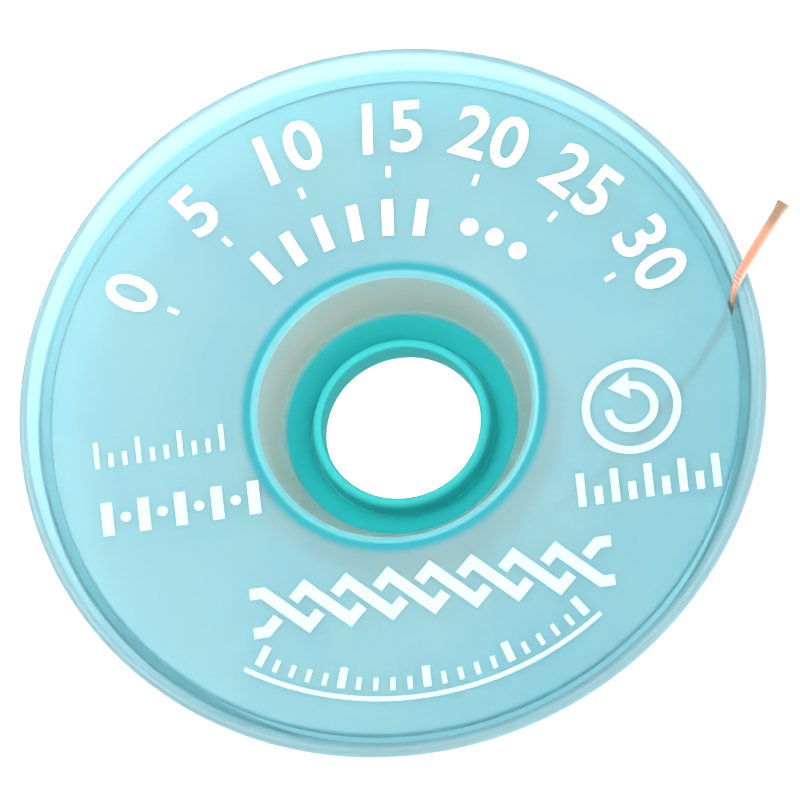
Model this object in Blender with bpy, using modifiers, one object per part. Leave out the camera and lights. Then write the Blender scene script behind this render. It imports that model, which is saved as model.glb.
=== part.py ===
"""Desoldering braid wound on a two-piece moulded bobbin, lying with its face up.

The origin is on the bobbin's axis, at the back face that it lies on. +Z is the axis, up
through the face, and +X points to the side where the free end of the braid comes out.
"""

import math

import bmesh
import bpy
from mathutils import Vector

MM = 0.001

# Bobbin, both halves
WALL = 0.7 * MM
BODY_HEIGHT = 5.6 * MM
HOLE_RADIUS = 5.35 * MM
SEAT_GAP = 0.3 * MM

# Back half: a shallow bowl with a flared rim and a collar round the hole
RIM_RADIUS = 25.4 * MM
RIM_RISE = 1.3 * MM
FLOOR_RADIUS = 22.3 * MM
FLOOR_BEND = 1.6 * MM
MOUTH_BEND = 1.2 * MM
COLLAR_HEIGHT = 2.5 * MM
COLLAR_BEND = 0.45 * MM

# Front half: a flat printed disc and the tapered hub tube that the braid is wound on
EXIT_GAP = 0.5 * MM
DISC_RADIUS = 23.45 * MM
DISC_EDGE_ROUND = 0.2 * MM
HUB_MOUTH_RADIUS = 9.4 * MM
HUB_MOUTH_ROUND = 0.65 * MM
HUB_FOOT_RADIUS = 7.8 * MM
HUB_FOOT_RISE = 1.0 * MM
HUB_LIP = 0.2 * MM
HUB_INNER_BEND = 0.3 * MM

# Braid: a flat woven strip of bare copper, wound to a depth over the hub's wide end
BRAID_WIDTH = 0.8 * MM
BRAID_THICKNESS = 0.24 * MM
WINDING_DEPTH = 0.68 * MM
TURN_GROOVE = 0.06 * MM

# Free end of the braid: places on its route in mm, and how far it has rolled over in
# degrees, from 0 with its width upright, as on the hub, to 90 lying flat
TAIL_ROUTE = (
    (-3.63, -10.55, 2.80, 0),
    (-1.85, -11.00, 2.80, 0),
    (0.05, -11.16, 2.80, 2),
    (4.80, -10.80, 2.85, 12),
    (10.00, -9.65, 2.95, 28),
    (14.80, -7.80, 3.05, 44),
    (19.20, -5.30, 3.20, 60),
    (21.68, -3.73, 3.42, 68),
    (22.53, -3.17, 3.80, 66),
    (23.03, -2.83, 4.20, 60),
    (23.30, -2.65, 4.65, 55),
    (23.54, -2.49, 5.15, 54),
    (23.68, -2.40, 5.50, 54),
    (23.89, -2.25, 6.00, 55),
    (24.13, -2.10, 6.45, 57),
    (24.43, -1.90, 6.85, 64),
    (24.85, -1.61, 7.15, 74),
    (25.70, -1.03, 7.44, 80),
    (27.50, 0.17, 7.90, 88),
    (29.40, 1.45, 8.30, 90),
)
TAIL_POINTS_PER_SPAN = 3

# Smoothness
TURN_STEPS = 60
BEND_STEPS = 3

# Heights and radii that follow from the sizes above
FACE_HEIGHT = BODY_HEIGHT
DISC_UNDERSIDE = BODY_HEIGHT - WALL
RIM_HEIGHT = BODY_HEIGHT + RIM_RISE
MOUTH_RADIUS = DISC_RADIUS + EXIT_GAP
COLLAR_RADIUS = HOLE_RADIUS + WALL
HUB_LIP_RADIUS = COLLAR_RADIUS + SEAT_GAP
HUB_SEAT = WALL + SEAT_GAP
HUB_FOOT_HEIGHT = HUB_SEAT + HUB_FOOT_RISE
HUB_TAPER = (HUB_MOUTH_RADIUS - HUB_FOOT_RADIUS) / (FACE_HEIGHT - HUB_FOOT_HEIGHT)


def rounded(corners, closed):
    """Points of a section whose corners (distance from the axis, height, bend radius) are rounded."""
    points = []
    count = len(corners)
    for i, (x, z, bend) in enumerate(corners):
        corner = Vector((x, z))
        if bend == 0 or (not closed and i in (0, count - 1)):
            points.append(corner)
            continue
        before = Vector(corners[i - 1][:2]) - corner
        after = Vector(corners[(i + 1) % count][:2]) - corner
        half = before.angle(after) / 2
        reach = min(bend / math.tan(half), 0.45 * before.length, 0.45 * after.length)
        radius = reach * math.tan(half)
        centre = corner + (before.normalized() + after.normalized()).normalized() * radius / math.sin(half)
        start = corner + before.normalized() * reach - centre
        end = corner + after.normalized() * reach - centre
        sweep = start.angle_signed(end)
        for k in range(BEND_STEPS + 1):
            turn = -sweep * k / BEND_STEPS
            spoke = Vector(
                (
                    start.x * math.cos(turn) - start.y * math.sin(turn),
                    start.x * math.sin(turn) + start.y * math.cos(turn),
                )
            )
            points.append(centre + spoke)
    return points


def thickened(path, wall):
    """Closed section of a wall that runs along a path, with a round end at each end of it."""
    sides = ([], [])
    for i, point in enumerate(path):
        before = (point - path[i - 1]).normalized() if i else None
        after = (path[i + 1] - point).normalized() if i + 1 < len(path) else None
        run = (before or after) + (after or before)
        run.normalize()
        across = Vector((-run.y, run.x))
        stretch = 1 / across.dot(Vector((-(after or before).y, (after or before).x)))
        sides[0].append(point + across * wall / 2 * stretch)
        sides[1].append(point - across * wall / 2 * stretch)

    def cap(centre, start):
        """Round end of the wall, from one of its sides over to the other."""
        spoke = start - centre
        ahead = Vector((spoke.y, -spoke.x))
        steps = BEND_STEPS + 1
        return [
            centre + spoke * math.cos(math.pi * k / steps) + ahead * math.sin(math.pi * k / steps)
            for k in range(1, steps)
        ]

    outer, inner = sides
    return outer + cap(path[-1], outer[-1]) + inner[::-1] + cap(path[0], inner[0])


def material(name, colour, roughness, metallic, alpha=1.0):
    """Principled material with the piece's own colour."""
    made = bpy.data.materials.new(name)
    made.use_nodes = True
    shader = made.node_tree.nodes["Principled BSDF"]
    shader.inputs["Base Color"].default_value = (*colour, 1)
    shader.inputs["Roughness"].default_value = roughness
    shader.inputs["Metallic"].default_value = metallic
    shader.inputs["Alpha"].default_value = alpha
    return made


def turned(name, section, finish, collection):
    """Solid of revolution about Z from a closed section that runs down its outer side."""
    mesh = bpy.data.meshes.new(name)
    sketch = bmesh.new()
    ring = [sketch.verts.new((point.x, 0, point.y)) for point in section]
    for i, vertex in enumerate(ring):
        sketch.edges.new((vertex, ring[(i + 1) % len(ring)]))
    sketch.to_mesh(mesh)
    sketch.free()
    mesh.materials.append(finish)
    piece = bpy.data.objects.new(name, mesh)
    collection.objects.link(piece)
    screw = piece.modifiers.new("Turn", "SCREW")
    screw.axis = "Z"
    screw.steps = TURN_STEPS
    screw.render_steps = TURN_STEPS
    screw.use_merge_vertices = True
    screw.merge_threshold = 0.00001
    screw.use_smooth_shade = True
    return piece


def back_half_section():
    """Bowl wall from the rim's edge down and in across the floor, then up into the collar."""
    half = WALL / 2
    path = rounded(
        (
            (RIM_RADIUS - half, RIM_HEIGHT - half, 0),
            (MOUTH_RADIUS + half, BODY_HEIGHT - half, MOUTH_BEND),
            (FLOOR_RADIUS + half, half, FLOOR_BEND),
            (HOLE_RADIUS + half, half, COLLAR_BEND),
            (HOLE_RADIUS + half, COLLAR_HEIGHT - half, 0),
        ),
        closed=False,
    )
    return thickened(path, WALL)


def hub_radius(height):
    """Inner radius of the tapered hub tube at a height."""
    return HUB_FOOT_RADIUS + HUB_TAPER * (height - HUB_FOOT_HEIGHT)


def hub_outer_radius(height):
    """Outer radius of the hub tube at a height."""
    return hub_radius(height) + WALL * math.hypot(1, HUB_TAPER)


def front_half_section():
    """Disc edge, underside, hub tube down to its thick foot, then up inside it to the face."""
    return rounded(
        (
            (DISC_RADIUS, FACE_HEIGHT, DISC_EDGE_ROUND),
            (DISC_RADIUS, DISC_UNDERSIDE, DISC_EDGE_ROUND),
            (hub_outer_radius(DISC_UNDERSIDE), DISC_UNDERSIDE, HUB_INNER_BEND),
            (hub_outer_radius(HUB_SEAT), HUB_SEAT, 0),
            (HUB_LIP_RADIUS, HUB_SEAT, 0),
            (HUB_LIP_RADIUS, HUB_SEAT + HUB_LIP, 0),
            (HUB_FOOT_RADIUS, HUB_FOOT_HEIGHT, HUB_INNER_BEND),
            (hub_radius(FACE_HEIGHT), FACE_HEIGHT, HUB_MOUTH_ROUND),
        ),
        closed=True,
    )


def winding_section():
    """Layers of braid on the tapered hub, with a groove between two layers on each end."""
    low = HUB_SEAT
    high = DISC_UNDERSIDE - SEAT_GAP
    inner_low = hub_outer_radius(low) + SEAT_GAP
    inner_high = hub_outer_radius(high) + SEAT_GAP
    outer = inner_high + WINDING_DEPTH

    def end(inner, height, groove):
        """One end of the roll, from its outer edge in to the hub."""
        layers = max(1, round((outer - inner) / BRAID_THICKNESS))
        step = (outer - inner) / layers
        points = [Vector((outer, height))]
        for layer in range(1, layers):
            edge = outer - layer * step
            points += [Vector((edge, height + groove)), Vector((edge - step / 2, height))]
        return points + [Vector((inner, height))]

    bottom = end(inner_low, low, TURN_GROOVE)
    top = end(inner_high, high, -TURN_GROOVE)
    return bottom + top[::-1]


def smooth_route(places, points_per_span):
    """Points along a smooth curve through the places, as (x, y, z, roll)."""
    ends = [2 * places[0] - places[1], *places, 2 * places[-1] - places[-2]]
    points = []
    for a, b, c, d in zip(ends, ends[1:], ends[2:], ends[3:]):
        for k in range(points_per_span):
            t = k / points_per_span
            points.append(
                0.5 * (2 * b + (c - a) * t + (2 * a - 5 * b + 4 * c - d) * t**2 + (3 * b - a - 3 * c + d) * t**3)
            )
    return points + [places[-1]]


def strip(name, route, finish, collection):
    """Flat braid that follows a route, as a curve with a rounded strip for its section."""
    points = smooth_route([Vector(place) for place in route], TAIL_POINTS_PER_SPAN)
    curve = bpy.data.curves.new(name, "CURVE")
    curve.dimensions = "3D"
    curve.twist_mode = "Z_UP"
    curve.fill_mode = "FULL"
    curve.use_fill_caps = True
    curve.bevel_resolution = 1
    curve.bevel_depth = BRAID_THICKNESS / 2
    curve.extrude = (BRAID_WIDTH - BRAID_THICKNESS) / 2
    spline = curve.splines.new("POLY")
    spline.points.add(len(points) - 1)
    for target, point in zip(spline.points, points):
        target.co = (point.x * MM, point.y * MM, point.z * MM, 1)
        target.tilt = math.radians(point.w)
    curve.materials.append(finish)
    piece = bpy.data.objects.new(name, curve)
    collection.objects.link(piece)
    return piece


def main():
    for old in list(bpy.data.objects):
        bpy.data.objects.remove(old, do_unlink=True)

    parts = bpy.data.collections.new("desoldering_braid")
    bpy.context.scene.collection.children.link(parts)

    front_plastic = material("teal_plastic_front", (0.20, 0.62, 0.66), 0.32, 0.0, 0.6)
    back_plastic = material("teal_plastic_back", (0.20, 0.62, 0.66), 0.32, 0.0, 0.6)
    winding_copper = material("copper_braid_winding", (0.80, 0.42, 0.30), 0.42, 1.0)
    tail_copper = material("copper_braid_tail", (0.86, 0.48, 0.34), 0.42, 1.0)

    turned("back_half", back_half_section(), back_plastic, parts)
    turned("front_half", front_half_section(), front_plastic, parts)
    turned("braid_winding", winding_section(), winding_copper, parts)
    strip("braid_tail", TAIL_ROUTE, tail_copper, parts)


main()
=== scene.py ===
"""Looks of a desoldering braid wound on its two-piece moulded bobbin.

The bobbin lies face up on a pale floor. Its halves are translucent, so the floor, the
winding inside and the thickness of each wall all show in its colour.
"""

import logging
import math
from dataclasses import dataclass, field
from enum import Enum

import bmesh
import bpy
import numpy as np
from mathutils import Matrix, Vector


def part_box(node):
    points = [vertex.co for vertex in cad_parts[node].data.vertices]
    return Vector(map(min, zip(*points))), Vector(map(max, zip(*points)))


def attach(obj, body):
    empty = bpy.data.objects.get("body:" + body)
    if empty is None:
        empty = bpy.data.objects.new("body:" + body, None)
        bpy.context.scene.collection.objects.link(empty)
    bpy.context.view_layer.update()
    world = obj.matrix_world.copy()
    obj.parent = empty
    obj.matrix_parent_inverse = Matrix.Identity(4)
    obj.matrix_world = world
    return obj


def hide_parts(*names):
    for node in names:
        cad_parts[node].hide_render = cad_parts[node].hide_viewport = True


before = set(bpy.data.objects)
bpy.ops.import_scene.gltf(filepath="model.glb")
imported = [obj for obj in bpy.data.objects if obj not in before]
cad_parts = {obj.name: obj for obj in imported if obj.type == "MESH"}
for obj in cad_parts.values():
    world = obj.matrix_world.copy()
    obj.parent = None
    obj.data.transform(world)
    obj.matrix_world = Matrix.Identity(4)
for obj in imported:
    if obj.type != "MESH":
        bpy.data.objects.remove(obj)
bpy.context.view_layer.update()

LOG = logging.getLogger("desoldering_braid")
MM = 0.001
BODY = "root"
# The most of a straight that one bend takes up
BEND_SHARE = 0.45
# Edges that turn more than this stay sharp in the shading
TURNED_EDGE = math.radians(35)
WIRE_EDGE = math.radians(60)
DOT_SIDES = 24

Section = list[Vector]
Span = tuple[float, float]
Colour = tuple[float, float, float, float]
Tree = bpy.types.NodeTree
Socket = bpy.types.NodeSocket
Material = bpy.types.Material
Piece = bpy.types.Object


def linear(hex_colour: str) -> Colour:
    """Turns an sRGB colour into the linear one that shaders take.

    Args:
        hex_colour: Six hex digits after a hash, such as "#4FB8BC".

    Returns:
        Linear red, green and blue, and an alpha of 1.
    """
    channels = [int(hex_colour[i : i + 2], 16) / 255 for i in (1, 3, 5)]
    straight = [c / 12.92 if c <= 0.04045 else ((c + 0.055) / 1.055) ** 2.4 for c in channels]
    return (*straight, 1.0)


def add_node(
    tree: Tree,
    kind: str,
    inputs: dict[str | int, object] | None = None,
    **settings: object,
) -> bpy.types.Node:
    """Adds a node with its settings, values and links.

    Args:
        tree: Node tree that gets the node.
        kind: Blender's name for the kind of node.
        inputs: Input names or numbers, each with a value or the output socket to link.
        settings: Properties of the node itself.

    Returns:
        The new node.
    """
    node = tree.nodes.new(kind)
    for name, value in settings.items():
        setattr(node, name, value)
    for name, value in (inputs or {}).items():
        if isinstance(value, Socket):
            tree.links.new(value, node.inputs[name])
        else:
            node.inputs[name].default_value = value
    return node


def new_material(name: str) -> tuple[Material, Tree, bpy.types.Node]:
    """Makes an empty material.

    Args:
        name: Name of the material.

    Returns:
        The material, its node tree and its output node.
    """
    made = bpy.data.materials.new(name)
    made.use_nodes = True
    made.node_tree.nodes.clear()
    return made, made.node_tree, add_node(made.node_tree, "ShaderNodeOutputMaterial")


@dataclass(frozen=True)
class Ring:
    """Zone of a moulding nearer to its axis than a radius, where its wall looks different.

    The change is blurred by blur_mm to each side of the radius.
    """

    radius_mm: float
    skin: str
    clearness: float
    roughness: float = 0.3
    blur_mm: float = 0.15


@dataclass(frozen=True)
class MouldedPolypropylene:
    """Injection-moulded polypropylene, tinted teal and slightly cloudy.

    The wall lets light through and colours it by its thickness, so a thick foot or a tube
    seen end-on is deeper teal than a flat wall, and a bore that a polished core pin formed
    is clearer. The mould's faces were finely blasted, which leaves a satin gloss. That grain
    is under 0.1 mm in reality and is drawn coarser, so that it breaks up the gloss at all.
    Rings go from the widest to the narrowest. Some rings paint shade or a highlight into the skin.
    """

    name: str
    rings: tuple[Ring, ...]
    skin: str = "#BBE2E4"
    skin_flow: str = "#9CD6E2"
    tint: str = "#30EFF2"
    tint_density: float = 420.0
    clearness: float = 0.75
    cloud_mm: float = 0.8
    roughness: float = 0.3
    refraction: float = 1.49
    flow_mm: float = 7.0
    flow_swirl: float = 0.6
    grain_mm: float = 0.35
    grain_strength: float = 0.12
    grain_depth_mm: float = 0.02

    def zones(self, tree: Tree, place: Socket, face: Socket) -> tuple[Socket, Socket, Socket]:
        """Adds the rings over the look of the flat face.

        Args:
            tree: Node tree of the material.
            place: Output socket of the place on the object.
            face: Output socket of the flat face's colour.

        Returns:
            Output sockets of the colour, the clearness and the roughness.
        """
        flat = add_node(
            tree, "ShaderNodeVectorMath", {0: place, 1: (1, 1, 0)}, operation="MULTIPLY"
        )
        radius = add_node(tree, "ShaderNodeVectorMath", {0: flat.outputs[0]}, operation="LENGTH")
        looks = [face, self.clearness, self.roughness]
        for ring in self.rings:
            edge = {
                "Value": radius.outputs["Value"],
                "From Min": (ring.radius_mm + ring.blur_mm) * MM,
                "From Max": (ring.radius_mm - ring.blur_mm) * MM,
            }
            fade = add_node(tree, "ShaderNodeMapRange", edge, interpolation_type="SMOOTHSTEP")
            mask = fade.outputs[0]
            for i, inner in enumerate((linear(ring.skin), ring.clearness, ring.roughness)):
                kind, a, b, out = ("FLOAT", 2, 3, 0) if i else ("RGBA", 6, 7, 2)
                looks[i] = add_node(
                    tree, "ShaderNodeMix", {0: mask, a: looks[i], b: inner}, data_type=kind
                ).outputs[out]
        return tuple(looks)

    def build(self) -> Material:
        """Makes the plastic, with faint flow marks and the grain of the mould.

        Returns:
            The material.
        """
        made, tree, output = new_material(self.name)
        place = add_node(tree, "ShaderNodeTexCoord").outputs["Object"]
        flow = add_node(
            tree,
            "ShaderNodeTexNoise",
            {
                "Vector": place,
                "Scale": 1 / (self.flow_mm * MM),
                "Detail": 2.0,
                "Distortion": self.flow_swirl,
            },
        )
        grain = add_node(
            tree,
            "ShaderNodeTexNoise",
            {"Vector": place, "Scale": 1 / (self.grain_mm * MM), "Detail": 1.0},
        )
        face = add_node(
            tree,
            "ShaderNodeMix",
            {0: flow.outputs["Fac"], 6: linear(self.skin), 7: linear(self.skin_flow)},
            data_type="RGBA",
        )
        colour, clearness, roughness = self.zones(tree, place, face.outputs[2])
        bump = add_node(
            tree,
            "ShaderNodeBump",
            {
                "Height": grain.outputs["Fac"],
                "Strength": self.grain_strength,
                "Distance": self.grain_depth_mm * MM,
            },
        )
        shader = add_node(
            tree,
            "ShaderNodeBsdfPrincipled",
            {
                "Base Color": colour,
                "Roughness": roughness,
                "IOR": self.refraction,
                "Transmission Weight": clearness,
                "Subsurface Weight": 1.0,
                "Subsurface Scale": self.cloud_mm * MM,
                "Subsurface Radius": (1.0, 1.0, 1.0),
                "Normal": bump.outputs[0],
            },
            subsurface_method="BURLEY",
        )
        inside = add_node(
            tree,
            "ShaderNodeVolumeAbsorption",
            {"Color": linear(self.tint), "Density": self.tint_density},
        )
        tree.links.new(shader.outputs[0], output.inputs["Surface"])
        tree.links.new(inside.outputs[0], output.inputs["Volume"])
        return made


@dataclass(frozen=True)
class PadPrintInk:
    """White pad-printing ink: a nearly matt film with a slight cream cast.

    It is fully white at the top of the disc and turns more teal towards the lower rows. The
    pad laid it thinner in patches, where the teal shows through.
    """

    name: str = "pad_print_ink"
    ink: str = "#FDFEF6"
    ink_teal: str = "#B6E5EC"
    up: tuple[float, float, float] = (0.267, 0.964, 0.0)
    white_above_mm: float = 15.0
    teal_below_mm: float = 1.0
    roughness: float = 0.5
    patch_mm: float = 1.6
    patch_from: float = 0.45
    patch_to: float = 0.75
    patch_share: float = 0.5

    def build(self) -> Material:
        """Makes the ink, a little thinner in patches as a soft pad lays it.

        Returns:
            The material.
        """
        made, tree, output = new_material(self.name)
        place = add_node(tree, "ShaderNodeTexCoord").outputs["Object"]
        patch = add_node(
            tree,
            "ShaderNodeTexNoise",
            {"Vector": place, "Scale": 1 / (self.patch_mm * MM), "Detail": 3.0},
        )
        spread = add_node(
            tree,
            "ShaderNodeMapRange",
            {
                "Value": patch.outputs["Fac"],
                "From Min": self.patch_from,
                "From Max": self.patch_to,
                "To Max": self.patch_share,
            },
        )
        # Towards the lower rows of the disc the ink turns more teal
        height = add_node(
            tree, "ShaderNodeVectorMath", {0: place, 1: self.up}, operation="DOT_PRODUCT"
        )
        fade = add_node(
            tree,
            "ShaderNodeMapRange",
            {
                "Value": height.outputs["Value"],
                "From Min": self.white_above_mm * MM,
                "From Max": self.teal_below_mm * MM,
            },
        )
        teal_share = add_node(
            tree, "ShaderNodeMath", {0: spread.outputs[0], 1: fade.outputs[0]}, operation="MAXIMUM"
        )
        ink = add_node(
            tree,
            "ShaderNodeMix",
            {0: teal_share.outputs[0], 6: linear(self.ink), 7: linear(self.ink_teal)},
            data_type="RGBA",
        )
        shader = add_node(
            tree,
            "ShaderNodeBsdfPrincipled",
            {"Base Color": ink.outputs[2], "Roughness": self.roughness},
        )
        tree.links.new(shader.outputs[0], output.inputs["Surface"])
        return made


@dataclass(frozen=True)
class DrawnCopperBraid:
    """Bare drawn copper wire, woven flat and coated with dry rosin.

    The wires are bright salmon metal. The rosin is a thin amber skin that dulls them in
    patches, and near a cut end the copper is tarnished brown. Where weave_mm is not 0, bump
    draws the crossing wires on a plain strip. The real wires lie about 0.07 mm apart.
    """

    name: str
    cut_end_mm: tuple[float, float, float] | None = None
    tarnish: str = "#C4AF9C"
    tarnish_near_mm: float = 1.3
    tarnish_far_mm: float = 2.6
    wire: str = "#FBCDBF"
    wire_dull: str = "#E6B3A1"
    rosin: str = "#F9EBD6"
    rosin_weight: float = 0.35
    rosin_roughness: float = 0.3
    roughness_bright: float = 0.28
    roughness_dull: float = 0.48
    patch_mm: float = 2.2
    weave_mm: float = 0.0
    weave_strength: float = 0.8
    weave_depth_mm: float = 0.05

    def weave(self, tree: Tree) -> Socket:
        """Adds the height of two families of wires that cross at right angles.

        Args:
            tree: Node tree of the material.

        Returns:
            Output socket of a bump node.
        """
        along = add_node(tree, "ShaderNodeUVMap", uv_map="strip_mm").outputs[0]
        families = []
        for turn in (45, -45):
            turned = add_node(
                tree,
                "ShaderNodeMapping",
                {"Vector": along, "Rotation": (0, 0, math.radians(turn))},
            )
            families.append(
                add_node(
                    tree,
                    "ShaderNodeTexWave",
                    {"Vector": turned.outputs[0], "Scale": math.pi / (10 * self.weave_mm)},
                ).outputs["Fac"]
            )
        top = add_node(
            tree, "ShaderNodeMath", {0: families[0], 1: families[1]}, operation="MAXIMUM"
        )
        bump = add_node(
            tree,
            "ShaderNodeBump",
            {
                "Height": top.outputs[0],
                "Strength": self.weave_strength,
                "Distance": self.weave_depth_mm * MM,
            },
        )
        return bump.outputs[0]

    def build(self) -> Material:
        """Makes the copper.

        Returns:
            The material.
        """
        made, tree, output = new_material(self.name)
        place = add_node(tree, "ShaderNodeTexCoord").outputs["Object"]
        patch = add_node(
            tree,
            "ShaderNodeTexNoise",
            {"Vector": place, "Scale": 1 / (self.patch_mm * MM), "Detail": 4.0},
        )
        wire = add_node(
            tree,
            "ShaderNodeMix",
            {0: patch.outputs["Fac"], 6: linear(self.wire), 7: linear(self.wire_dull)},
            data_type="RGBA",
        ).outputs[2]
        if self.cut_end_mm:
            cut = tuple(c * MM for c in self.cut_end_mm)
            reach = add_node(
                tree, "ShaderNodeVectorMath", {0: place, 1: cut}, operation="DISTANCE"
            )
            handled = add_node(
                tree,
                "ShaderNodeMapRange",
                {
                    "Value": reach.outputs["Value"],
                    "From Min": self.tarnish_far_mm * MM,
                    "From Max": self.tarnish_near_mm * MM,
                },
            )
            wire = add_node(
                tree,
                "ShaderNodeMix",
                {0: handled.outputs[0], 6: wire, 7: linear(self.tarnish)},
                data_type="RGBA",
            ).outputs[2]
        roughness = add_node(
            tree,
            "ShaderNodeMapRange",
            {
                "Value": patch.outputs["Fac"],
                "To Min": self.roughness_bright,
                "To Max": self.roughness_dull,
            },
        )
        inputs = {
            "Base Color": wire,
            "Metallic": 1.0,
            "Roughness": roughness.outputs[0],
            "Coat Weight": self.rosin_weight,
            "Coat Roughness": self.rosin_roughness,
            "Coat Tint": linear(self.rosin),
        }
        if self.weave_mm:
            inputs["Normal"] = self.weave(tree)
        shader = add_node(tree, "ShaderNodeBsdfPrincipled", inputs)
        tree.links.new(shader.outputs[0], output.inputs["Surface"])
        return made


@dataclass(frozen=True)
class OpalLightTable:
    """Opal acrylic sheet, lit evenly from below: plain white, and nearly free of shadows."""

    name: str = "opal_light_table"
    sheet: str = "#F4F4F4"
    glow: float = 0.5
    gloss: float = 0.1
    roughness: float = 0.6

    def build(self) -> Material:
        """Makes the sheet.

        Returns:
            The material.
        """
        made, tree, output = new_material(self.name)
        shader = add_node(
            tree,
            "ShaderNodeBsdfPrincipled",
            {
                "Base Color": linear(self.sheet),
                "Roughness": self.roughness,
                "Specular IOR Level": self.gloss,
                "Emission Color": linear("#FFFFFF"),
                "Emission Strength": self.glow,
            },
        )
        tree.links.new(shader.outputs[0], output.inputs["Surface"])
        return made


def rounded(corners: list[tuple[float, float, float]], closed: bool, steps: int) -> Section:
    """Rounds the corners of a section.

    Args:
        corners: Distance from the axis, height and bend radius of each corner.
        closed: Whether the last corner joins the first.
        steps: Straight steps in each bend.

    Returns:
        Points of the rounded section.
    """
    points = []
    count = len(corners)
    for i, (x, z, bend) in enumerate(corners):
        corner = Vector((x, z))
        if bend == 0 or (not closed and i in (0, count - 1)):
            points.append(corner)
            continue
        before = Vector(corners[i - 1][:2]) - corner
        after = Vector(corners[(i + 1) % count][:2]) - corner
        half = before.angle(after) / 2
        reach = min(bend / math.tan(half), BEND_SHARE * before.length, BEND_SHARE * after.length)
        middle = (before.normalized() + after.normalized()).normalized()
        centre = corner + middle * reach / math.cos(half)
        start = corner + before.normalized() * reach - centre
        sweep = start.angle_signed(corner + after.normalized() * reach - centre)
        turns = (Matrix.Rotation(-sweep * k / steps, 2) for k in range(steps + 1))
        points += [centre + turn @ start for turn in turns]
    return points


def sides_of(path: Section, width: float, closed: bool = False) -> tuple[Section, Section]:
    """Offsets a path to both of its sides, with mitred corners.

    Args:
        path: Points along the middle.
        width: Distance from side to side.
        closed: Whether the last point joins the first.

    Returns:
        Points of the left side and of the right side.
    """
    count = len(path)
    left, right = [], []
    for i, point in enumerate(path):
        before = point - path[i - 1] if i or closed else path[1] - path[0]
        after = path[(i + 1) % count] - point if i + 1 < count or closed else before
        run = (before.normalized() + after.normalized()).normalized()
        across = Vector((-run.y, run.x))
        side = Vector((-after.y, after.x)).normalized()
        reach = across * width / 2 / across.dot(side)
        left.append(point + reach)
        right.append(point - reach)
    return left, right


def thickened(path: Section, wall: float, steps: int) -> Section:
    """Gives a wall to a path, with a round end at each end of it.

    Args:
        path: Points along the middle of the wall.
        wall: Thickness of the wall.
        steps: Straight steps in each round end.

    Returns:
        Closed section of the wall.
    """
    left, right = sides_of(path, wall)

    def cap(centre: Vector, start: Vector) -> Section:
        """Points of a round end, from one side of the wall over to the other."""
        return [
            centre + Matrix.Rotation(-math.pi * k / steps, 2) @ (start - centre)
            for k in range(1, steps)
        ]

    return left + cap(path[-1], left[-1]) + right[::-1] + cap(path[0], right[0])


def placed(name: str, data: bpy.types.ID) -> Piece:
    """Makes an object of its data and puts it into the scene."""
    piece = bpy.data.objects.new(name, data)
    bpy.context.scene.collection.objects.link(piece)
    return piece


def turned(name: str, section: Section, steps: int, finish: Material) -> Piece:
    """Turns a closed section about the bobbin's axis.

    Args:
        name: Name of the piece.
        section: Closed section that runs down its outer side.
        steps: Straight steps in the turn.
        finish: Material of the piece.

    Returns:
        The piece, smooth but for its sharp corners.
    """
    sketch = bmesh.new()
    ring = [sketch.verts.new((point.x, 0, point.y)) for point in section]
    edges = [sketch.edges.new((v, ring[(i + 1) % len(ring)])) for i, v in enumerate(ring)]
    bmesh.ops.spin(
        sketch,
        geom=ring + edges,
        axis=(0, 0, 1),
        angle=2 * math.pi,
        steps=steps,
        use_merge=True,
    )
    bmesh.ops.recalc_face_normals(sketch, faces=sketch.faces)
    return finished_mesh(name, sketch, finish)


def finished_mesh(name: str, sketch: bmesh.types.BMesh, finish: Material) -> Piece:
    """Makes a smooth-shaded object of a sketched mesh.

    Args:
        name: Name of the piece.
        sketch: The mesh, which is freed.
        finish: Material of the piece.

    Returns:
        The piece.
    """
    mesh = bpy.data.meshes.new(name)
    sketch.to_mesh(mesh)
    sketch.free()
    mesh.materials.append(finish)
    mesh.shade_smooth()
    mesh.set_sharp_from_angle(angle=TURNED_EDGE)
    return placed(name, mesh)


def run_lengths(points: np.ndarray) -> np.ndarray:
    """Measures how far along a line each of its points lies.

    Args:
        points: Points of the line.

    Returns:
        Distance of each point from the first one.
    """
    return np.concatenate([[0], np.cumsum(np.linalg.norm(np.diff(points, axis=0), axis=1))])


def unit(vectors: np.ndarray) -> np.ndarray:
    """Scales each of an array's vectors to a length of 1."""
    return vectors / np.linalg.norm(vectors, axis=1, keepdims=True)


def swept(
    name: str,
    tubes: list[np.ndarray],
    finish: Material,
    along_mm: np.ndarray | None = None,
) -> Piece:
    """Makes closed tubes from rings of points, all in one piece.

    Args:
        name: Name of the piece.
        tubes: One array for each tube, of its rings along it by points round it by 3.
        finish: Material of the piece.
        along_mm: How far in mm each ring of a lone tube lies along it, for its weave.

    Returns:
        The piece.
    """
    faces, base = [], 0
    for tube in tubes:
        count, round_it = tube.shape[:2]
        ring = base + np.arange(count - 1)[:, None] * round_it
        here, after = np.arange(round_it), (np.arange(round_it) + 1) % round_it
        low, high = ring + here, ring + after
        sides = np.stack([low, high, high + round_it, low + round_it], 2)
        faces += sides.reshape(-1, 4).tolist()
        faces.append((base + here[::-1]).tolist())
        faces.append((base + (count - 1) * round_it + here).tolist())
        base += count * round_it
    mesh = bpy.data.meshes.new(name)
    mesh.from_pydata(np.concatenate([tube.reshape(-1, 3) for tube in tubes]).tolist(), [], faces)
    mesh.materials.append(finish)
    mesh.shade_smooth()
    mesh.set_sharp_from_angle(angle=WIRE_EDGE)
    if along_mm is not None:
        first = tubes[0][0]
        across = run_lengths(first) / MM
        corner = np.zeros(len(mesh.loops), np.int32)
        mesh.loops.foreach_get("vertex_index", corner)
        place = [along_mm[corner // len(first)], across[corner % len(first)]]
        layer = mesh.uv_layers.new(name="strip_mm")
        layer.data.foreach_set("uv", np.stack(place, 1).ravel())
    return placed(name, mesh)


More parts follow.
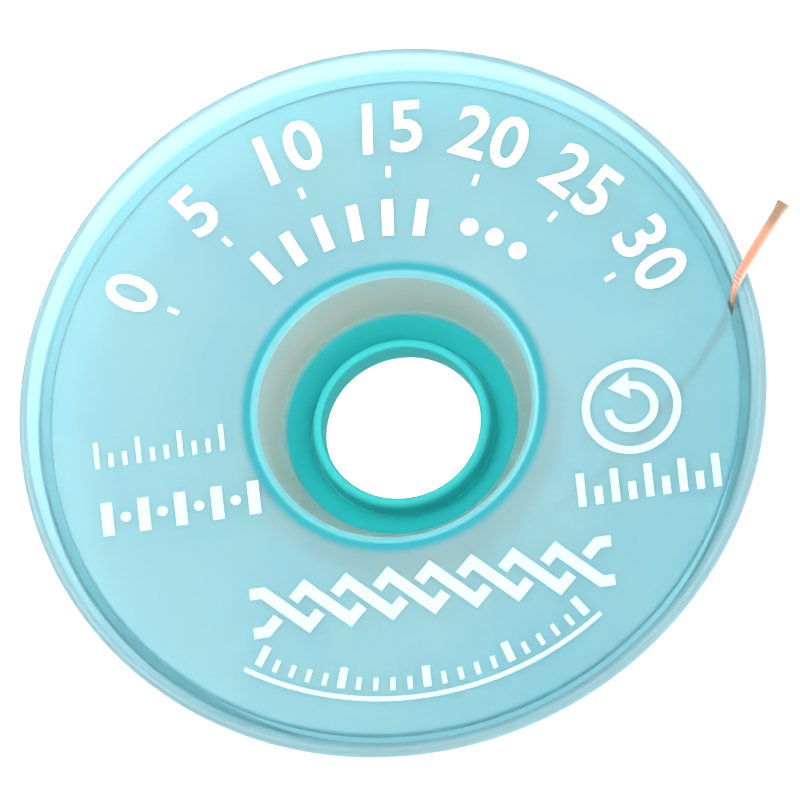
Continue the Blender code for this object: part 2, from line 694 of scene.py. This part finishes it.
@dataclass
class BobbinSizes:
    """Sizes that the two halves of the bobbin share, in metres."""

    wall: float = 0.7 * MM
    hole_radius: float = 5.35 * MM
    seat_gap: float = 0.3 * MM
    exit_gap: float = 0.5 * MM
    turn_steps: int = 256
    bend_steps: int = 7
    rim_radius: float = field(init=False)
    rim_height: float = field(init=False)
    disc_radius: float = field(init=False)
    face_height: float = field(init=False)

    def __post_init__(self) -> None:
        """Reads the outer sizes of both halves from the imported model."""
        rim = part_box("back_half")[1]
        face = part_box("front_half")[1]
        self.rim_radius, self.rim_height = rim.x, rim.z
        self.disc_radius, self.face_height = face.x, face.z


@dataclass
class BackHalf:
    """Shallow bowl whose rim flares round the disc, with a collar round the hole."""

    sizes: BobbinSizes
    floor_radius: float = 22.3 * MM
    floor_bend: float = 1.6 * MM
    mouth_bend: float = 1.2 * MM
    collar_height: float = 2.5 * MM
    collar_bend: float = 0.45 * MM

    def section(self) -> Section:
        """Gives the bowl's wall, from the rim in across the floor and up into the collar.

        Returns:
            Closed section of the half.
        """
        s = self.sizes
        half = s.wall / 2
        mouth = s.disc_radius + s.exit_gap
        path = rounded(
            [
                (s.rim_radius - half, s.rim_height - half, 0),
                (mouth + half, s.face_height - half, self.mouth_bend),
                (self.floor_radius + half, half, self.floor_bend),
                (s.hole_radius + half, half, self.collar_bend),
                (s.hole_radius + half, self.collar_height - half, 0),
            ],
            closed=False,
            steps=s.bend_steps,
        )
        return thickened(path, s.wall, 2 * s.bend_steps)

    def build(self) -> Piece:
        """Makes the half in place of its solid.

        Returns:
            The piece.
        """
        steep_wall = Ring(24.15, "#AFDFE7", 0.9)
        floor = Ring(22.5, "#D2EFF6", 0.75, blur_mm=0.5)
        collar = Ring(6.4, "#2CC8C8", 0.35, roughness=0.7)
        hole_wall = Ring(5.46, "#0A8E90", 0.1, roughness=0.8, blur_mm=0.08)
        finish = MouldedPolypropylene(
            "moulded_polypropylene_back",
            (steep_wall, floor, collar, hole_wall),
            skin="#D2EFF6",
            skin_flow="#C2E8F1",
            tint_density=300.0,
        ).build()
        piece = turned("bobbin_back", self.section(), self.sizes.turn_steps, finish)
        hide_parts("back_half")
        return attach(piece, BODY)


@dataclass
class FrontHalf:
    """Flat printed disc with the tapered hub tube that the braid is wound on."""

    sizes: BobbinSizes
    disc_edge_round: float = 0.2 * MM
    mouth_radius: float = 9.4 * MM
    mouth_round: float = 0.65 * MM
    foot_radius: float = 7.8 * MM
    foot_rise: float = 1.0 * MM
    lip: float = 0.2 * MM
    inner_bend: float = 0.3 * MM

    @property
    def seat(self) -> float:
        """Height of the hub tube's lower end."""
        return self.sizes.wall + self.sizes.seat_gap

    @property
    def foot_height(self) -> float:
        """Height at which the taper meets the thick foot."""
        return self.seat + self.foot_rise

    @property
    def taper(self) -> float:
        """How much the tube's radius grows with its height."""
        return (self.mouth_radius - self.foot_radius) / (self.sizes.face_height - self.foot_height)

    @property
    def underside(self) -> float:
        """Height of the disc's underside."""
        return self.sizes.face_height - self.sizes.wall

    def outer_radius(self, height: float) -> float:
        """Gives the hub tube's outer radius.

        Args:
            height: Height above the floor.

        Returns:
            The radius there.
        """
        inner = self.foot_radius + self.taper * (height - self.foot_height)
        return inner + self.sizes.wall * math.hypot(1, self.taper)

    def section(self) -> Section:
        """Gives the disc's edge and underside, the tube and its foot, and the face.

        Returns:
            Closed section of the half.
        """
        s = self.sizes
        lip_radius = s.hole_radius + s.wall + s.seat_gap
        return rounded(
            [
                (s.disc_radius, s.face_height, self.disc_edge_round),
                (s.disc_radius, self.underside, self.disc_edge_round),
                (self.outer_radius(self.underside), self.underside, self.inner_bend),
                (self.outer_radius(self.seat), self.seat, 0),
                (lip_radius, self.seat, 0),
                (lip_radius, self.seat + self.lip, 0),
                (self.foot_radius, self.foot_height, self.inner_bend),
                (self.mouth_radius, s.face_height, self.mouth_round),
            ],
            closed=True,
            steps=s.bend_steps,
        )

    def build(self) -> Piece:
        """Makes the half in place of its solid.

        Returns:
            The piece.
        """
        # Painted shade: the dark teal ring where the disc turns down into the tube stands in for
        # the winding's shadow seen through the disc
        tube_join_painted_shade = Ring(10.45, "#00ADBA", 0.45, roughness=0.6, blur_mm=0.3)
        # Painted highlight: the pale cyan ring on the mouth's rounded edge stands in for the gloss
        # that light catches there
        lip = Ring(9.78, "#82E2EB", 0.5, blur_mm=0.12)
        bore = Ring(9.35, "#EFF7F0", 0.74, roughness=0.26)
        foot = Ring(7.9, "#00D4D4", 0.64, roughness=0.8)
        finish = MouldedPolypropylene(
            "moulded_polypropylene_front", (tube_join_painted_shade, lip, bore, foot)
        ).build()
        piece = turned("bobbin_front", self.section(), self.sizes.turn_steps, finish)
        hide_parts("front_half")
        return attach(piece, BODY)


@dataclass
class BraidSizes:
    """Sizes of the flat braid, in metres."""

    width: float = 0.8 * MM
    thickness: float = 0.24 * MM


@dataclass
class WoundBraid:
    """Braid in its turns on the hub, layer on layer, as one long strip."""

    hub: FrontHalf
    braid: BraidSizes
    depth: float = 0.68 * MM
    steps_per_turn: int = 120
    side_slack: float = 0.04 * MM
    clearance: float = 0.01 * MM
    level_share: float = 0.75
    smoothed_over: int = 9

    def layers(self) -> list[tuple[float, float, float]]:
        """Lists the layers from the hub outwards.

        Returns:
            Radius, lowest height and highest height of the strip's middle in each layer.
        """
        gap = self.hub.sizes.seat_gap
        low, high = self.hub.seat, self.hub.underside - gap
        outer = self.hub.outer_radius(high) + gap + self.depth
        inner = self.hub.outer_radius(low) + gap
        count = int((outer - inner) / self.braid.thickness)
        found = []
        for number in range(count):
            radius = outer - (count - number - 0.5) * self.braid.thickness
            room = radius - self.braid.thickness / 2 - inner
            top = min(high, low + room / self.hub.taper)
            if top - low >= self.braid.width:
                found.append((radius, low + self.braid.width / 2, top - self.braid.width / 2))
        return found

    def route(self) -> np.ndarray:
        """Winds the strip up and down its layers.

        Returns:
            Angle, radius and height of each point of the strip's middle.
        """
        parts, angle, up = [], 0.0, True
        for radius, low, high in self.layers():
            turns = max(1, int((high - low) / (self.braid.width + self.side_slack)) + 1)
            share = np.linspace(0, 1, turns * self.steps_per_turn, endpoint=False)
            # Each turn runs level for a share and then steps over to the next one
            along = share * turns
            over = np.clip((along % 1 - self.level_share) / (1 - self.level_share), 0, 1)
            done = (np.floor(along) + over * over * (3 - 2 * over)) / max(1, turns - 1)
            done = np.clip(done, 0, 1)
            height = low + (high - low) * (done if up else 1 - done)
            level = np.full_like(share, radius)
            parts.append(np.stack([angle + along * 2 * math.pi, level, height], 1))
            angle += turns * 2 * math.pi
            up = not up
        whole = np.concatenate(parts)
        smooth = np.ones(self.smoothed_over) / self.smoothed_over
        for column in (1, 2):
            padded = np.pad(whole[:, column], self.smoothed_over // 2, mode="edge")
            whole[:, column] = np.convolve(padded, smooth, mode="valid")
        return whole

    def build(self) -> Piece:
        """Makes the winding in place of its solid.

        Returns:
            The piece.
        """
        route = self.route()
        # The strip's section is a rounded rectangle, given as shares of its half sizes
        outline = np.array(
            [(1, 0.5), (0.6, 1), (-0.6, 1), (-1, 0.5), (-1, -0.5), (-0.6, -1), (0.6, -1), (1, -0.5)]
        )
        out = outline[:, 0] * (self.braid.thickness / 2 - self.clearance)
        up = outline[:, 1] * (self.braid.width / 2 - self.clearance)
        radius = route[:, 1, None] + out
        angle = route[:, 0, None]
        ring = np.stack(
            [radius * np.cos(angle), radius * np.sin(angle), route[:, 2, None] + up], 2
        )
        along = np.concatenate([[0], np.cumsum(np.diff(route[:, 0]) * route[1:, 1])]) / MM
        # Four times as coarse as the real weave, so that it shows through the cloudy halves
        finish = DrawnCopperBraid("drawn_copper_braid_wound", weave_mm=0.28).build()
        piece = swept("wound_braid", [ring[:, ::-1]], finish, along)
        LOG.info("wound braid is %.2f m long in %d layers", along[-1] * MM, len(self.layers()))
        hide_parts("braid_winding")
        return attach(piece, BODY)


# Places on the free end's route in mm, with how far it has rolled over in degrees
TAIL_ROUTE = (
    (-3.63, -10.55, 2.80, 0),
    (-1.85, -11.00, 2.80, 0),
    (0.05, -11.16, 2.80, 2),
    (4.80, -10.80, 2.85, 12),
    (10.00, -9.65, 2.95, 28),
    (14.80, -7.80, 3.05, 44),
    (19.20, -5.30, 3.20, 60),
    (21.68, -3.73, 3.42, 68),
    (22.53, -3.17, 3.80, 66),
    (23.03, -2.83, 4.20, 60),
    (23.30, -2.65, 4.65, 55),
    (23.54, -2.49, 5.15, 54),
    (23.68, -2.40, 5.50, 54),
    (23.89, -2.25, 6.00, 55),
    (24.13, -2.10, 6.45, 57),
    (24.43, -1.90, 6.85, 64),
    (24.85, -1.61, 7.15, 74),
    (25.70, -1.03, 7.44, 80),
    (27.50, 0.17, 7.90, 88),
    (29.40, 1.45, 8.30, 90),
)


@dataclass
class FreeBraid:
    """Free end of the braid, from the winding out between the disc's edge and the rim."""

    braid: BraidSizes
    carriers: int = 16
    wires_per_carrier: int = 3
    wire_radius: float = 0.034 * MM
    closeness: float = 0.94
    pitch: float = 2.4 * MM
    weave_lift: float = 0.035 * MM
    step: float = 0.09 * MM
    wire_sides: int = 4
    tip_fray: float = 0.12 * MM
    fray_length: float = 0.9 * MM
    fray_phase: float = 7.3
    side_power: float = 0.8
    end_power: float = 0.6
    steps_per_place: int = 40

    def centreline(self) -> tuple[np.ndarray, np.ndarray]:
        """Runs a smooth line through the route at even steps.

        Returns:
            Points of the line in metres, and the roll at each in radians.
        """
        places = np.array(TAIL_ROUTE, float)
        ends = np.concatenate([[2 * places[0] - places[1]], places, [2 * places[-1] - places[-2]]])
        fine = []
        for a, b, c, d in zip(ends, ends[1:], ends[2:], ends[3:]):
            t = np.linspace(0, 1, self.steps_per_place, endpoint=False)[:, None]
            square = (2 * a - 5 * b + 4 * c - d) * t**2
            cube = (3 * b - a - 3 * c + d) * t**3
            fine.append(0.5 * (2 * b + (c - a) * t + square + cube))
        fine = np.concatenate([*fine, places[-1:]])
        line, roll = fine[:, :3] * MM, np.radians(fine[:, 3])
        along = run_lengths(line)
        at = np.linspace(0, along[-1], int(along[-1] / self.step) + 1)
        return (
            np.stack([np.interp(at, along, line[:, k]) for k in range(3)], 1),
            np.interp(at, along, roll),
        )

    def frames(self, line: np.ndarray, roll: np.ndarray) -> tuple[np.ndarray, np.ndarray]:
        """Finds which way the strip's width and thickness point along the line.

        Args:
            line: Points of the centreline.
            roll: Roll at each point, in radians.

        Returns:
            Unit vectors across the width, and through the thickness.
        """
        run = unit(np.gradient(line, axis=0))
        level = unit(np.cross(run, (0, 0, 1)))
        upright = np.cross(level, run)
        width = np.cos(roll)[:, None] * upright + np.sin(roll)[:, None] * level
        return width, np.cross(run, width)

    def wires(self, line: np.ndarray, roll: np.ndarray) -> list[np.ndarray]:
        """Weaves the wires about the centreline.

        Args:
            line: Points of the centreline.
            roll: Roll at each point, in radians.

        Returns:
            Rings of points for each wire.
        """
        width, through = self.frames(line, roll)
        along = np.arange(len(line)) * self.step
        left = np.clip((along[-1] - along) / self.fray_length, 0, 1)
        half_width = self.braid.width / 2 - self.wire_radius - self.weave_lift / 2
        half_thick = self.braid.thickness / 2 - self.wire_radius - self.weave_lift / 2
        spacing = self.closeness * 4 * math.pi / (self.carriers * self.wires_per_carrier)
        corner = 2 * math.pi * np.arange(self.wire_sides) / self.wire_sides
        found = []
        for number in range(self.carriers):
            sense = 1 if number % 2 == 0 else -1
            phase = 2 * math.pi * (number // 2) / (self.carriers // 2)
            crossing = np.cos(along / self.pitch * math.pi * self.carriers)
            lift = sense * crossing * self.weave_lift / 2
            for wire in range(self.wires_per_carrier):
                offset = (wire - (self.wires_per_carrier - 1) / 2) * spacing
                turn = sense * 2 * math.pi * along / self.pitch + phase + offset
                spread = 0.5 + 0.5 * math.sin(self.fray_phase * number + wire)
                fray = 1 + self.tip_fray / half_width * (1 - left) * spread
                # A flat oval: its ends are round and its long sides nearly straight
                x, y = np.cos(turn), np.sin(turn)
                u = np.sign(x) * np.abs(x) ** self.side_power * (half_width * fray + lift)
                v = np.sign(y) * np.abs(y) ** self.end_power * (half_thick * fray + lift)
                middle = line + u[:, None] * width + v[:, None] * through
                run = unit(np.gradient(middle, axis=0))
                side = unit(np.cross(run, through))
                rise = np.cross(side, run)
                found.append(
                    middle[:, None]
                    + self.wire_radius
                    * (
                        np.cos(corner)[None, :, None] * side[:, None]
                        + np.sin(corner)[None, :, None] * rise[:, None]
                    )
                )
        return found

    def build(self) -> Piece:
        """Makes the free end in place of its solid.

        Returns:
            The piece.
        """
        line, roll = self.centreline()
        cut_end = TAIL_ROUTE[-1][:3]
        finish = DrawnCopperBraid("drawn_copper_braid_free", cut_end_mm=cut_end).build()
        piece = swept("free_braid", self.wires(line, roll), finish)
        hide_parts("braid_tail")
        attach(piece, BODY)
        return piece


class Weight(Enum):
    """How broad a printed line is, in metres."""

    FINE = 0.34 * MM
    PLAIN = 0.55 * MM
    BOLD = 0.8 * MM


@dataclass(frozen=True)
class Row:
    """Evenly spaced places of like marks, in mm along a line or degrees round the axis."""

    count: int
    start: float
    step: float

    def places(self) -> list[tuple[int, float]]:
        """Numbers the places from 0, each with how far along it lies."""
        return [(number, self.start + self.step * number) for number in range(self.count)]


def outward(angle: float) -> Vector:
    """Points away from the axis at an angle in degrees."""
    return Vector((math.cos(math.radians(angle)), math.sin(math.radians(angle))))


@dataclass
class FacePrint:
    """White generic marks on the disc: a dial of plain numbers, ticks, bars and dots.

    Places are in mm in the print's own frame, whose x axis is the way its rows run. No two
    marks overlap, as they come from one printing plate. A span is where a mark starts and
    ends: radii for a mark that points at the axis, heights for an upright one.
    """

    face_height: float
    turn: float = math.radians(-15.5)
    sunk: float = 0.005 * MM
    film: float = 0.03 * MM
    weld: float = 0.002 * MM
    number_row: Row = Row(7, 147.0, -20.5)
    number_step: int = 5
    number_radius: float = 19.9
    number_size: float = 5.1
    number_tick: Span = (16.5, 17.3)
    number_swell: float = 0.018
    number_spacing: float = 1.05
    bar_row: Row = Row(6, 124.0, -9.5)
    bar_span: Span = (12.3, 14.9)
    dot_row: Row = Row(3, 62.0, -8.0)
    dot_radius: float = 13.6
    dot_size: float = 0.62
    ruler_row: Row = Row(10, -20.4, 0.95)
    ruler_long: Span = (-1.3, 0.6)
    ruler_short: Span = (-1.3, -0.3)
    block_row: Row = Row(5, -20.1, 2.5)
    block_span: Span = (-6.2, -3.8)
    block_dot_size: float = 0.36
    ring_place: Span = (15.9, -2.6)
    ring_radius: float = 3.1
    arrow_radius: float = 1.55
    arrow_arc: Span = (180, 450)
    arrow_head: Span = (1.45, 0.95)
    comb_row: Row = Row(9, 11.9, 1.15)
    comb_long: Span = (-9.2, -6.8)
    comb_short: Span = (-9.2, -7.9)
    strand_row: Row = Row(8, -10.2, 2.85)
    strand_span: Span = (-14.7, -11.9)
    strand_clear: float = 0.78
    strand_lead: float = 0.9
    scale_row: Row = Row(21, 237.0, 3.35)
    scale_long: Span = (18.8, 20.3)
    scale_short: Span = (19.4, 20.3)
    scale_line: float = 20.9
    scale_arc: Span = (235, 306)
    faces: list[Section] = field(default_factory=list)
    numerals: list[tuple[str, Vector, float]] = field(default_factory=list)

    def stroke(self, points: list[Span | Vector], weight: Weight, closed: bool = False) -> None:
        """Prints a line with square ends and mitred corners.

        Args:
            points: Places along it.
            weight: How broad it is.
            closed: Whether its end joins its start.
        """
        left, right = sides_of([Vector(p) * MM for p in points], weight.value, closed)
        count = len(points)
        for i in range(count if closed else count - 1):
            k = (i + 1) % count
            self.faces.append([left[i], right[i], right[k], left[k]])

    def dot(self, x: float, y: float, radius: float) -> None:
        """Prints a round dot.

        Args:
            x: Place along the rows.
            y: Place across the rows.
            radius: Radius in mm.
        """
        centre, spoke = Vector((x, y)) * MM, Vector((radius, 0)) * MM
        turns = [Matrix.Rotation(math.tau * k / DOT_SIDES, 2) for k in range(DOT_SIDES)]
        self.faces.append([centre + turn @ spoke for turn in turns])

    def arc(self, centre: Span, radius: float, reach: Span, weight: Weight) -> None:
        """Prints part of a circle, or the whole of one.

        Args:
            centre: Place of the circle's middle.
            radius: Radius in mm.
            reach: First and last angle in degrees.
            weight: How broad the line is.
        """
        start, end = reach
        whole = end - start == 360
        steps = max(12, int((end - start) * radius / 15))
        angles = np.radians(np.linspace(start, end, steps, endpoint=not whole))
        x, y = centre
        places = [(x + radius * math.cos(a), y + radius * math.sin(a)) for a in angles]
        self.stroke(places, weight, closed=whole)

    def tick(self, angle: float, span: Span, weight: Weight) -> None:
        """Prints a short line that points at the axis.

        Args:
            angle: Angle in degrees.
            span: Radii in mm between which it runs.
            weight: How broad it is.
        """
        self.stroke([outward(angle) * radius for radius in span], weight)

    def upright(self, x: float, span: Span, weight: Weight) -> None:
        """Prints a short line across the rows.

        Args:
            x: Place along the rows.
            span: Heights in mm between which it runs.
            weight: How broad it is.
        """
        self.stroke([(x, y) for y in span], weight)

    def dial(self) -> None:
        """Prints the large numbers along the top, each with a tick under it."""
        for number, angle in self.number_row.places():
            place = outward(angle) * self.number_radius * MM
            text = str(self.number_step * number)
            self.numerals.append((text, place, math.radians(angle - 90)))
            self.tick(angle, self.number_tick, Weight.FINE)

    def bars(self) -> None:
        """Prints the row of bars and the dots near the hub."""
        for _, angle in self.bar_row.places():
            self.tick(angle, self.bar_span, Weight.BOLD)
        for _, angle in self.dot_row.places():
            self.dot(*outward(angle) * self.dot_radius, self.dot_size)

    def side_rows(self) -> None:
        """Prints the small ruler, and the row of blocks and dots under it, at the left."""
        for number, x in self.ruler_row.places():
            span = self.ruler_long if number % 3 == 0 else self.ruler_short
            self.upright(x, span, Weight.FINE)
        for number, x in self.block_row.places():
            self.upright(x, self.block_span, Weight.BOLD)
            if number < self.block_row.count - 1:
                middle = sum(self.block_span) / 2
                self.dot(x + self.block_row.step / 2, middle, self.block_dot_size)

    def unwinding_mark(self) -> None:
        """Prints the ring with a curved arrow, and the ticks under it, at the right."""
        x, y = self.ring_place
        long, half_wide = self.arrow_head
        self.arc((x, y), self.ring_radius, (0, 360), Weight.PLAIN)
        self.arc((x, y), self.arrow_radius, self.arrow_arc, Weight.PLAIN)
        tail = y + self.arrow_radius
        head = ((x, tail + half_wide), (x - long, tail), (x, tail - half_wide))
        self.faces.append([Vector(p) * MM for p in head])
        for number, place in self.comb_row.places():
            span = self.comb_short if number % 2 else self.comb_long
            self.upright(place, span, Weight.PLAIN)

    def crossing_strands(self) -> None:
        """Prints the bold band of two strands that cross over and under each other."""
        low, high = self.strand_span
        count, left, pitch = self.strand_row.count, self.strand_row.start, self.strand_row.step
        middle = (low + high) / 2
        length = math.hypot(pitch, high - low)
        step = Vector((pitch, high - low)) * self.strand_clear / length
        for k in range(-2, count):
            # Up from a crossing, over the top, all the way down and up to the next crossing
            x = left + k * pitch
            points = [
                (x + pitch / 2 + step.x, middle + step.y),
                (x + pitch, high),
                (x + 2 * pitch, low),
                (x + 2.5 * pitch - step.x, middle - step.y),
            ]
            if k == -2:
                points = [(left - self.strand_lead, low), *points[2:]]
            elif k == -1:
                points = [(left - self.strand_lead, high), *points[1:]]
            elif k == count - 2:
                points = [*points[:3], (x + 2 * pitch + self.strand_lead, low)]
            elif k == count - 1:
                points = [*points[:2], (x + pitch + self.strand_lead, high)]
            self.stroke(points, Weight.BOLD)

    def lower_scale(self) -> None:
        """Prints the curved scale along the bottom."""
        for number, angle in self.scale_row.places():
            if number % 5 == 0:
                self.tick(angle, self.scale_long, Weight.PLAIN)
            else:
                self.tick(angle, self.scale_short, Weight.FINE)
        self.arc((0, 0), self.scale_line, self.scale_arc, Weight.FINE)

    def add_numeral(
        self, sketch: bmesh.types.BMesh, text: str, place: Vector, angle: float
    ) -> None:
        """Adds the flat faces of a number.

        Args:
            sketch: Mesh that gets them.
            text: The number.
            place: Its middle, in metres.
            angle: How far it is turned, in radians.
        """
        letters = bpy.data.curves.new("numeral", "FONT")
        letters.body = text
        letters.size = self.number_size * MM
        letters.offset = self.number_swell * letters.size
        letters.space_character = self.number_spacing
        letters.align_x = "CENTER"
        letters.align_y = "CENTER"
        letters.resolution_u = 4
        carrier = placed("numeral", letters)
        bpy.context.view_layer.update()
        shaped = carrier.evaluated_get(bpy.context.evaluated_depsgraph_get())
        flat = bpy.data.meshes.new_from_object(shaped)
        flat.transform(Matrix.Translation((*place, 0)) @ Matrix.Rotation(angle, 4, "Z"))
        sketch.from_mesh(flat)
        bpy.data.objects.remove(carrier)
        bpy.data.curves.remove(letters)
        bpy.data.meshes.remove(flat)

    def build(self) -> Piece:
        """Prints every mark as one film on the disc.

        Returns:
            The piece.
        """
        for mark in (
            self.dial,
            self.bars,
            self.side_rows,
            self.unwinding_mark,
            self.crossing_strands,
            self.lower_scale,
        ):
            mark()
        sketch = bmesh.new()
        for face in self.faces:
            sketch.faces.new([sketch.verts.new((*point, 0)) for point in face])
        for numeral in self.numerals:
            self.add_numeral(sketch, *numeral)
        bmesh.ops.remove_doubles(sketch, verts=sketch.verts, dist=self.weld)
        for face in sketch.faces:
            if face.normal.z < 0:
                face.normal_flip()
        raised = bmesh.ops.extrude_face_region(
            sketch, geom=sketch.faces[:], use_keep_orig=True
        )
        top = [part for part in raised["geom"] if isinstance(part, bmesh.types.BMVert)]
        bmesh.ops.translate(sketch, verts=top, vec=(0, 0, self.film))
        bmesh.ops.recalc_face_normals(sketch, faces=sketch.faces)
        up = Matrix.Translation((0, 0, self.face_height - self.sunk))
        bmesh.ops.transform(
            sketch, verts=sketch.verts, matrix=up @ Matrix.Rotation(self.turn, 4, "Z")
        )
        piece = finished_mesh("face_print", sketch, PadPrintInk().build())
        LOG.info("face print: %d numbers, %d other faces", len(self.numerals), len(self.faces))
        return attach(piece, BODY)


@dataclass
class Studio:
    """Camera at the photograph's angle, a pale floor and soft light from all sides."""

    face_height: float
    frame_px: float = 800.0
    px_per_mm: float = 14.89
    axis_px: tuple[float, float] = (394.4, 406.2)
    tilt: float = math.radians(22.3)
    roll: float = math.radians(23.0)
    lens_mm: float = 1200.0
    sensor_mm: float = 36.0
    floor_side: float = 1.6
    floor_clearance: float = 0.02 * MM
    bright_way: tuple[float, float, float] = (0.43, -0.8, 0.42)
    bright: float = 2.4
    dim: float = 0.65
    softbox_place: tuple[float, float, float] = (-0.25, 0.35, 0.6)
    softbox_side: float = 0.5
    softbox_watts: float = 4.2

    def place_camera(self) -> None:
        """Aims a long lens so that the bobbin's axis falls where the photograph has it."""
        right = Vector((math.cos(self.roll), -math.sin(self.roll) * math.cos(self.tilt), 0))
        right.z = -math.sin(self.roll) * math.sin(self.tilt)
        up = Vector((math.sin(self.roll), math.cos(self.roll) * math.cos(self.tilt), 0))
        up.z = math.cos(self.roll) * math.sin(self.tilt)
        back = right.cross(up)
        middle = self.frame_px / 2
        aim = Vector((0, 0, self.face_height))
        aim += right * (middle - self.axis_px[0]) / self.px_per_mm * MM
        aim += up * (self.axis_px[1] - middle) / self.px_per_mm * MM
        distance = self.frame_px / self.px_per_mm * MM * self.lens_mm / self.sensor_mm
        lens = bpy.data.cameras.new("camera")
        lens.lens = self.lens_mm
        lens.sensor_width = self.sensor_mm
        camera = placed("camera", lens)
        camera.matrix_world = Matrix((right, up, back)).transposed().to_4x4()
        camera.location = aim + back * distance
        bpy.context.scene.camera = camera

    def lay_floor(self) -> None:
        """Lays the light table under the bobbin, just clear of it."""
        sketch = bmesh.new()
        bmesh.ops.create_grid(sketch, x_segments=1, y_segments=1, size=self.floor_side / 2)
        bmesh.ops.translate(sketch, verts=sketch.verts, vec=(0, 0, -self.floor_clearance))
        floor = finished_mesh("floor", sketch, OpalLightTable().build())

    def light(self) -> None:
        """Adds the room light, brightest low in front, and a soft box high up behind."""
        world = bpy.data.worlds.new("room_light")
        world.use_nodes = True
        tree = world.node_tree
        sky = tree.nodes["Background"]
        sky.inputs["Color"].default_value = linear("#FFFFFF")
        seen = add_node(tree, "ShaderNodeTexCoord").outputs["Generated"]
        toward = add_node(
            tree, "ShaderNodeVectorMath", {0: seen, 1: self.bright_way}, operation="DOT_PRODUCT"
        )
        level = add_node(
            tree,
            "ShaderNodeMapRange",
            {"Value": toward.outputs["Value"], "To Min": self.dim, "To Max": self.bright},
        )
        tree.links.new(level.outputs[0], sky.inputs["Strength"])
        bpy.context.scene.world = world
        lamp = bpy.data.lights.new("key_softbox", "AREA")
        lamp.shape = "SQUARE"
        lamp.size = self.softbox_side
        lamp.energy = self.softbox_watts
        holder = placed("key_softbox", lamp)
        holder.location = self.softbox_place
        holder.rotation_euler = (-holder.location).to_track_quat("-Z", "Y").to_euler()

    def build(self) -> None:
        """Sets up the camera, floor and light."""
        self.place_camera()
        self.lay_floor()
        self.light()
        bpy.context.scene.view_settings.view_transform = "Standard"


def main() -> None:
    """Builds the bobbin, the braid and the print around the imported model."""
    logging.basicConfig(level=logging.INFO, format="%(message)s")
    sizes = BobbinSizes()
    Studio(sizes.face_height).build()
    back = BackHalf(sizes)
    front = FrontHalf(sizes)
    braid = BraidSizes()
    for part in (
        FreeBraid(braid),
        WoundBraid(front, braid),
        back,
        front,
        FacePrint(sizes.face_height),
    ):
        piece = part.build()
        LOG.info("%s: %d faces", piece.name, len(piece.data.polygons))
    bpy.context.view_layer.update()


if __name__ == "__main__":
    main()
